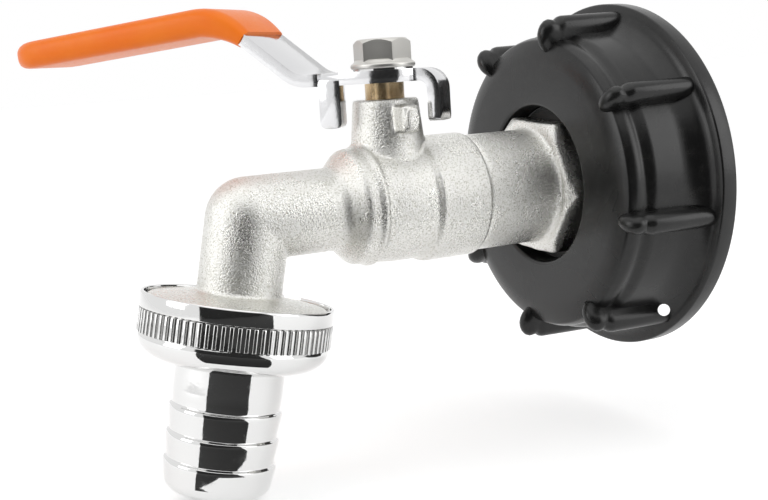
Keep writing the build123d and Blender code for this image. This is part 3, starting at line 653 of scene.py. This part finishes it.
leverShape = {
    "thick": 2.7, "middle": 27.6, "half": 9.0, "flatEnd": 17.2, "rise": 38.5, "fall": 5.0, "peak": 35.7, "tip": 93.5,
    "bend": 8.0, "peakBend": 16.0, "nearStart": 6.6, "nearLength": 5.1, "nearBottom": 17.1, "nearBend": 2.4,
    "nearCorner": 1.4, "farOuter": 13.9, "farWidth": 7.0, "farBottom": 17.6, "farBend": 3.2, "farCorner": 1.0,
    "hole": 4.32, "holeFlats": 6.24, "edge": 0.35,
}


def foldEdge(bm, edge, centre, axis, angle, steps):
    made = bmesh.ops.spin(bm, geom=[edge, *edge.verts], cent=centre, axis=axis, angle=radians(angle), steps=steps)
    return next(item for item in made["geom_last"] if isinstance(item, bmesh.types.BMEdge))


def drawEdge(bm, edge, way):
    made = bmesh.ops.extrude_edge_only(bm, edges=[edge])["geom"]
    verts = [item for item in made if isinstance(item, bmesh.types.BMVert)]
    bmesh.ops.translate(bm, vec=way, verts=verts)
    return next(item for item in made if isinstance(item, bmesh.types.BMEdge) and set(item.verts) == set(verts))


def roundCorners(bm, edge, rounding, steps):
    bmesh.ops.bevel(
        bm, geom=list(edge.verts), offset=rounding, offset_type="OFFSET", segments=steps, profile=0.5,
        affect="VERTICES", material=-1,
    )


def leverMesh():
    v = leverShape
    half, backHalf = v["half"], v["farWidth"] / 2
    backAngle = asin(backHalf / half)
    rise, fall = radians(v["rise"]), radians(v["fall"])
    flatStop = v["flatEnd"] - v["bend"] * tan(rise / 2)
    nearFold = half - v["nearBend"]
    nearEnd = v["nearStart"] + v["nearLength"]
    bm = bmesh.new()
    arcs = []
    for side in (1, -1):
        start = bm.verts.new((0, side * half, 0))
        made = bmesh.ops.spin(
            bm, geom=[start], cent=(0, 0, 0), axis=(0, 0, side), angle=pi / 2 - backAngle, steps=14,
        )
        last = next(item for item in made["geom_last"] if isinstance(item, bmesh.types.BMVert))
        arcs.append((start, last))
    nearCorners = [bm.verts.new(place) for place in (
        (v["nearStart"], half, 0), (v["nearStart"], nearFold, 0), (nearEnd, nearFold, 0), (nearEnd, half, 0),
        (flatStop, half, 0), (flatStop, -half, 0),
    )]
    line = [arcs[0][0], *nearCorners, arcs[1][0]]
    made = [bm.edges.new(pair) for pair in zip(line, line[1:])]
    nearEdge, frontEdge = made[2], made[5]
    backEdge = bm.edges.new((arcs[0][1], arcs[1][1]))
    bmesh.ops.edgeloop_fill(bm, edges=bm.edges[:])
    # main strip
    edge = foldEdge(bm, frontEdge, (flatStop, 0, v["bend"]), (0, -1, 0), v["rise"], 8)
    turn = rise + fall
    slope = (v["peak"] - v["flatEnd"]) / cos(rise) - v["bend"] * tan(rise / 2) - v["peakBend"] * tan(turn / 2)
    edge = drawEdge(bm, edge, (slope * cos(rise), 0, slope * sin(rise)))
    at = edge.verts[0].co
    centre = (at.x + v["peakBend"] * sin(rise), 0, at.z - v["peakBend"] * cos(rise))
    edge = foldEdge(bm, edge, centre, (0, 1, 0), v["rise"] + v["fall"], 12)
    run = (v["tip"] - v["peak"]) / cos(fall) - v["peakBend"] * tan(turn / 2)
    edge = drawEdge(bm, edge, (run * cos(fall), 0, -run * sin(fall)))
    roundCorners(bm, edge, half - 1.5, 6)
    # far tab
    foldStart = v["thick"] / 2 - v["farOuter"] + v["farBend"]
    edge = drawEdge(bm, backEdge, (foldStart - backEdge.verts[0].co.x, 0, 0))
    edge = foldEdge(bm, edge, (foldStart, 0, -v["farBend"]), (0, -1, 0), 90, 8)
    edge = drawEdge(bm, edge, (0, 0, v["farBottom"] + v["farBend"] - v["middle"]))
    roundCorners(bm, edge, v["farCorner"], 3)
    # near tab
    inner = v["nearBend"] - v["thick"] / 2
    edge = foldEdge(bm, nearEdge, (0, nearFold, -inner), (-1, 0, 0), 90, 6)
    edge = drawEdge(bm, edge, (0, 0, v["nearBottom"] + inner - v["middle"]))
    roundCorners(bm, edge, v["nearCorner"], 4)
    bmesh.ops.recalc_face_normals(bm, faces=bm.faces)
    base = rawObject("leverSheet", bm)
    wall = base.modifiers.new("wall", "SOLIDIFY")
    wall.thickness = v["thick"]
    wall.offset = 0.0
    wall.use_even_offset = True
    bm = bakeModifiers(base)
    bmesh.ops.recalc_face_normals(bm, faces=bm.faces)
    hole = lathe([(0, -3), (v["hole"], -3), (v["hole"], 3), (0, 3)], closed=False)
    flats = bmesh.new()
    bmesh.ops.create_cube(flats, size=1.0)
    bmesh.ops.scale(flats, vec=(20, v["holeFlats"], 4), verts=flats.verts)
    bm = combine(bm, combine(hole, flats, "INTERSECT"), "DIFFERENCE")
    sharp = [e for e in bm.edges if e.is_manifold and e.calc_face_angle(0.0) > radians(50)]
    bmesh.ops.bevel(bm, geom=sharp, offset=v["edge"], segments=2, profile=0.5, affect="EDGES", material=-1,
                    clamp_overlap=True)
    return bm


finishPiece("leverStrip", leverMesh(), leverPlace @ Matrix.Translation((0, 0, leverShape["middle"] * mm)),
            "lever_set", ["lever"], leverPlate, sharpAngle=40.0)
print("lever ready")


# grip: a dipped sleeve over the strip, straight at its start and round at its tip

gripShape = {
    "width": 20.5, "thick": 6.4, "corner": 2.6, "start": 29.6, "mouthWidth": 0.92, "mouthThick": 0.64, "taper": 10.0,
    "tipWall": 1.9, "nose": 8.0, "planRound": 10.0,
}


def gripSwell(travelled):
    # the mouth hugs the strip and the sleeve grows to its full size behind it
    g = gripShape
    share = sin(min(1.0, travelled / g["taper"]) * pi / 2)
    return g["mouthWidth"] + (1 - g["mouthWidth"]) * share, g["mouthThick"] + (1 - g["mouthThick"]) * share


def gripMesh():
    g, v = gripShape, leverShape
    rise, fall = radians(v["rise"]), radians(v["fall"])
    turn = rise + fall
    peakZ = (v["peak"] - v["flatEnd"]) * tan(rise)
    cut = v["peakBend"] * tan(turn / 2)
    startRun = (v["peak"] - g["start"]) / cos(rise)
    stations = []  # x, z, slope, width and thickness
    for back in (startRun, startRun - 0.25, (startRun + cut) / 2):
        stations.append((v["peak"] - back * cos(rise), peakZ - back * sin(rise), rise, *gripSwell(startRun - back)))
    steps = 14
    centreX = v["peak"] - cut * cos(rise) + v["peakBend"] * sin(rise)
    centreZ = peakZ - cut * sin(rise) - v["peakBend"] * cos(rise)
    for step in range(steps + 1):
        turned = turn * step / steps
        angle = rise - turned
        stations.append((
            centreX - v["peakBend"] * sin(angle), centreZ + v["peakBend"] * cos(angle), angle,
            *gripSwell(startRun - cut + v["peakBend"] * turned),
        ))
    length = (v["tip"] + g["tipWall"] - v["peak"]) / cos(fall)
    ends = [g["planRound"] * share for share in (0.9, 0.72, 0.55, 0.4, 0.28, 0.18, 0.1, 0.05, 0.018, 0.002)]
    for back in [length * share for share in (0.8, 0.6, 0.4, 0.25)] + ends:
        run = length - back
        half = g["width"] / 2
        rest = max(0.0, g["planRound"] - back)
        wide = (half - g["planRound"] + sqrt(g["planRound"] ** 2 - rest ** 2)) / half
        rest = max(0.0, g["nose"] - back)
        thin = sqrt(g["nose"] ** 2 - rest ** 2) / g["nose"]
        stations.append((v["peak"] + run * cos(fall), peakZ - run * sin(fall), -fall, wide, thin))
    bm = wireLoop([
        (0, -g["width"] / 2, -g["thick"] / 2, g["corner"]), (0, g["width"] / 2, -g["thick"] / 2, g["corner"]),
        (0, g["width"] / 2, g["thick"] / 2, g["corner"]), (0, -g["width"] / 2, g["thick"] / 2, g["corner"]),
    ], roundSteps=6)
    places = [
        Matrix.Translation((x, 0, z)) @ Matrix.Rotation(-angle, 4, "Y")
        @ Matrix.Scale(wide, 4, (0, 1, 0)) @ Matrix.Scale(thin, 4, (0, 0, 1))
        for x, z, angle, wide, thin in stations
    ]
    sweepRing(bm, bm.edges[:], places)
    tidyMesh(bm)
    return bm


finishPiece("gripSleeve", gripMesh(), leverPlace @ Matrix.Translation((0, 0, leverShape["middle"] * mm)),
            "lever_set", ["lever_grip"], finishes["orange_vinyl"], sharpAngle=50.0)
print("grip ready")


# flanged lever nut

nutShape = {
    "low": 29.35, "top": 35.7, "flats": 11.0, "flange": 7.1, "flangeThick": 2.0, "bore": 3.02, "turn": 23.0,
}


def leverNutMesh():
    n = nutShape
    corner = n["flats"] / sqrt(3)
    hexagon = hexPrism(n["flats"], n["low"], n["top"], n["turn"] + 90)
    trim = lathe([
        (0, n["low"] - 1), (corner + 1, n["low"] - 1), (corner + 1, n["top"] - 1.5),
        (corner - 0.1, n["top"] - 0.9, 0.4), (corner - 1.1, n["top"], 0.3), (0, n["top"]),
    ], closed=False)
    body = combine(hexagon, trim, "INTERSECT")
    flange = lathe([
        (0, n["low"]), (n["flange"] - 0.3, n["low"], 0.1), (n["flange"], n["low"] + 0.35, 0.2),
        (n["flange"], n["low"] + 0.95, 0.25), (n["flange"] - 0.55, n["low"] + 1.3, 0.2),
        (n["flats"] / 2 + 0.4, n["low"] + n["flangeThick"], 0.2), (0, n["low"] + n["flangeThick"]),
    ], closed=False)
    body = combine(body, flange, "UNION")
    bore = lathe([
        (0, n["low"] - 1), (n["bore"], n["low"] - 1), (n["bore"], n["top"] - 0.6), (n["bore"] + 0.7, n["top"] + 0.1),
        (n["bore"] + 0.7, n["top"] + 1), (0, n["top"] + 1),
    ], closed=False)
    return combine(body, bore, "DIFFERENCE")


finishPiece("leverNut", leverNutMesh(), stemPlace, "lever_set", ["lever_nut"], nutPlate,
            sharpAngle=25.0)
print("lever nut ready")


# union nut with its knurl, and the barbed hose tail

unionShape = {
    "rim": 16.7, "radius": 20.4, "lip": 19.6, "lipDepth": 2.0, "knurlStart": 20.0, "knurlEnd": 25.2, "teeth": 80,
    "toothDepth": 0.45, "toothShare": 0.56, "skirt": 20.05, "bottom": 30.9, "neck": 11.9, "floor": 28.95,
    "threadRadius": 16.64,
}


def unionNutMesh():
    u = unionShape
    knurlFloor = u["radius"] - u["toothDepth"] - 0.15
    body = lathe([
        (u["lip"], u["rim"] + 0.1, 0.08), (u["radius"] - 0.25, u["rim"], 0.15), (u["radius"], u["rim"] + 0.35, 0.2),
        (u["radius"], u["knurlStart"] - 0.1, 0.15), (knurlFloor, u["knurlStart"] + 0.25, 0.1),
        (knurlFloor, u["knurlEnd"] - 0.1, 0.1), (u["skirt"] - 0.15, u["knurlEnd"] + 0.15, 0.1),
        (u["skirt"], u["knurlEnd"] + 0.6, 0.2), (u["skirt"], u["bottom"] - 4.0, 1.2),
        (u["skirt"] - 1.5, u["bottom"] - 1.7, 1.6), (u["skirt"] - 5.5, u["bottom"] - 0.2, 1.6),
        (u["neck"] + 0.3, u["bottom"], 0.2), (u["neck"], u["bottom"] - 0.4, 0.15), (u["neck"], u["floor"]),
        (u["threadRadius"] + 0.4, u["floor"]), (u["threadRadius"] + 0.4, u["rim"] + u["lipDepth"]),
        (u["lip"] - 0.4, u["rim"] + u["lipDepth"], 0.3), (u["lip"] - 0.05, u["rim"] + u["lipDepth"] - 0.6, 0.2),
    ], steps=160)
    tooth = bmesh.new()
    bmesh.ops.create_cube(tooth, size=1.0)
    width = 2 * pi * u["radius"] / u["teeth"] * u["toothShare"]
    length = u["knurlEnd"] - u["knurlStart"] - 0.3
    bmesh.ops.scale(tooth, vec=(2 * u["toothDepth"], width, length), verts=tooth.verts)
    outer = [e for e in tooth.edges if all(x.co.x > 0 for x in e.verts)]
    bmesh.ops.bevel(tooth, geom=outer, offset=0.3, segments=3, profile=0.5, affect="EDGES", material=-1)
    bmesh.ops.translate(
        tooth, verts=tooth.verts,
        vec=(u["radius"] - u["toothDepth"] + 0.02, 0, (u["knurlStart"] + u["knurlEnd"]) / 2),
    )
    bmesh.ops.spin(
        tooth, geom=tooth.verts[:] + tooth.edges[:] + tooth.faces[:], cent=(0, 0, 0), axis=(0, 0, 1),
        angle=2 * pi * (u["teeth"] - 1) / u["teeth"], steps=u["teeth"] - 1, use_duplicate=True,
    )
    addShell(body, tooth)
    return body


finishPiece("unionNut", unionNutMesh(), outletPlace, "nut", ["union_nut"], finishes["chrome"],
            sharpAngle=35.0)

tailShape = {
    "flange": 15.6, "flangeTop": 26.95, "flangeBottom": 28.9, "tube": 11.6, "bore": 8.4, "tip": 57.9, "tipRound": 2.4,
    "barbFirst": 39.8, "barbSpacing": 5.7, "barbs": 3, "crest": 11.95, "root": 11.3, "step": 0.5,
}


def hoseTailMesh():
    t = tailShape
    outline = [
        (t["bore"], t["flangeTop"], 0.2), (t["flange"], t["flangeTop"], 0.2), (t["flange"], t["flangeBottom"], 0.2),
        (t["tube"], t["flangeBottom"], 0.1), (t["tube"] - 0.05, t["barbFirst"] - 3.0, 1.0),
        (t["root"], t["barbFirst"] - t["step"], 0.25),
    ]
    for index in range(t["barbs"]):
        at = t["barbFirst"] + index * t["barbSpacing"]
        outline += [
            (t["crest"] - 0.1, at - 0.12, 0.1), (t["crest"], at + 0.5, 0.3),
            (t["root"], at + t["barbSpacing"] - t["step"], 0.12),
        ]
    outline[-1] = (t["root"] + 0.12, t["tip"] - t["tipRound"] - 0.5, 0.3)
    outline += [(t["root"] - 0.1, t["tip"] - 0.6, 1.9), (t["root"] - 2.2, t["tip"], 0.8), (t["bore"], t["tip"], 0.3)]
    return lathe(outline, steps=160, roundSteps=5)


finishPiece("hoseTail", hoseTailMesh(), outletPlace, "tail", ["hose_tail"], finishes["chrome"],
            sharpAngle=35.0)
print("outlet ready")


# floor, light and camera

studio = {"floorDrop": 0.0006, "floorSize": 6.0, "floorTone": 0.86, "floorGlow": 0.42, "roomTone": 0.65}
# a black card on the floor in front of the part that stands up behind the photographer, for the chrome to mirror
blackCard = {
    "centre": (-0.105, 0, 0), "nearEdge": 0.03, "radius": 0.75, "height": 0.6, "lift": 0.0003,
    "from": -45.0, "to": 38.0, "steps": 24, "tone": 0.02,
}
lamps = {  # place, size and watts
    "leftBox": ((-0.90, 0.08, 0.35), (0.4, 0.6), 1.6),
    "rightBox": ((0.48, -0.58, 0.30), (0.4, 0.6), 1.4),
    "topBox": ((-0.10, -0.10, 0.80), (0.8, 0.8), 1.0),
}
camera = {
    "place": (-0.18108, -0.23167, 0.02949), "right": (0.88795, -0.45558, -0.06326), "up": (0.12544, 0.10754, 0.98625),
    "lens": 55.33, "sensor": 36.0,
}

low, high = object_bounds()
floorMesh = bmesh.new()
bmesh.ops.create_grid(floorMesh, x_segments=1, y_segments=1, size=studio["floorSize"])
bmesh.ops.translate(floorMesh, vec=(0, 0, low.z - studio["floorDrop"]), verts=floorMesh.verts)
floor = rawObject("studioFloor", floorMesh)


def blackCardMesh():
    towards = Vector(camera["place"]) - Vector(blackCard["centre"])
    side = atan2(towards.y, towards.x) + radians(blackCard["from"])
    foot = low.z - studio["floorDrop"] + blackCard["lift"]
    card = bmesh.new()
    corners = []
    outline = ((blackCard["nearEdge"], 0), (blackCard["radius"], 0), (blackCard["radius"], blackCard["height"]))
    for reach, rise in outline:
        out = Vector(blackCard["centre"]) + Vector((cos(side), sin(side), 0)) * reach
        corners.append(card.verts.new((out.x, out.y, foot + rise)))
    edges = [card.edges.new(pair) for pair in zip(corners, corners[1:])]
    bmesh.ops.spin(
        card, geom=corners + edges, cent=blackCard["centre"], axis=(0, 0, 1),
        angle=radians(blackCard["to"] - blackCard["from"]), steps=blackCard["steps"],
    )
    return card


def mathNode(tree, operation, first, second):
    node = addNode(tree, "ShaderNodeMath", operation=operation)
    for socket, value in zip(node.inputs, (first, second)):
        if isinstance(value, (int, float)):
            socket.default_value = value
        else:
            tree.links.new(value, socket)
    return node.outputs[0]


def seenDirectly(tree):
    # 1 for what the camera, metal and glass see, 0 for the light that falls on things
    path = addNode(tree, "ShaderNodeLightPath")
    mirrored = mathNode(tree, "MAXIMUM", path.outputs["Is Glossy Ray"], path.outputs["Is Transmission Ray"])
    return mathNode(tree, "MAXIMUM", path.outputs["Is Camera Ray"], mirrored)


def buildWorld():
    world = bpy.data.worlds.new("studioWorld")
    scene.world = world
    world.use_nodes = True
    tree = world.node_tree
    back = tree.nodes["Background"]
    tree.links.new(mathNode(tree, "MAXIMUM", seenDirectly(tree), studio["roomTone"]), back.inputs["Strength"])
    back.inputs["Color"].default_value = (1, 1, 1, 1)


def floorMaterial():
    material, tree, shader = startMaterial("paleFloor", (studio["floorTone"],) * 3, Roughness=0.9)[:3]
    shader.inputs["Emission Color"].default_value = (1, 1, 1, 1)
    glow = mathNode(tree, "MULTIPLY", seenDirectly(tree), studio["floorGlow"])
    tree.links.new(glow, shader.inputs["Emission Strength"])
    return material


card = rawObject("blackCard", blackCardMesh())
card.data.materials.append(startMaterial("blackCard", (blackCard["tone"],) * 3, Roughness=1.0)[0])
card.visible_camera = card.visible_diffuse = card.visible_shadow = False
buildWorld()
floor.data.materials.append(floorMaterial())


def areaLight(name, place, target, size, power):
    lamp = bpy.data.lights.new(name, "AREA")
    lamp.shape = "RECTANGLE"
    lamp.size, lamp.size_y = size
    lamp.energy = power
    made = bpy.data.objects.new(name, lamp)
    scene.collection.objects.link(made)
    made.location = place
    made.rotation_euler = (Vector(target) - Vector(place)).to_track_quat("-Z", "Y").to_euler()


middle = (low + high) / 2
for name, (place, size, power) in lamps.items():
    areaLight(name, place, middle, size, power)
print("studio ready")

view = bpy.data.cameras.new("photoCamera")
view.lens = camera["lens"]
view.sensor_width = camera["sensor"]
view.clip_start, view.clip_end = 0.01, 20
photoCamera = bpy.data.objects.new("photoCamera", view)
scene.collection.objects.link(photoCamera)
right, up = Vector(camera["right"]), Vector(camera["up"])
turnedTo = Matrix((right, up, right.cross(up))).transposed().to_4x4()
photoCamera.matrix_world = Matrix.Translation(camera["place"]) @ turnedTo
scene.camera = photoCamera
scene.view_settings.view_transform = "Standard"

print("scene ready")
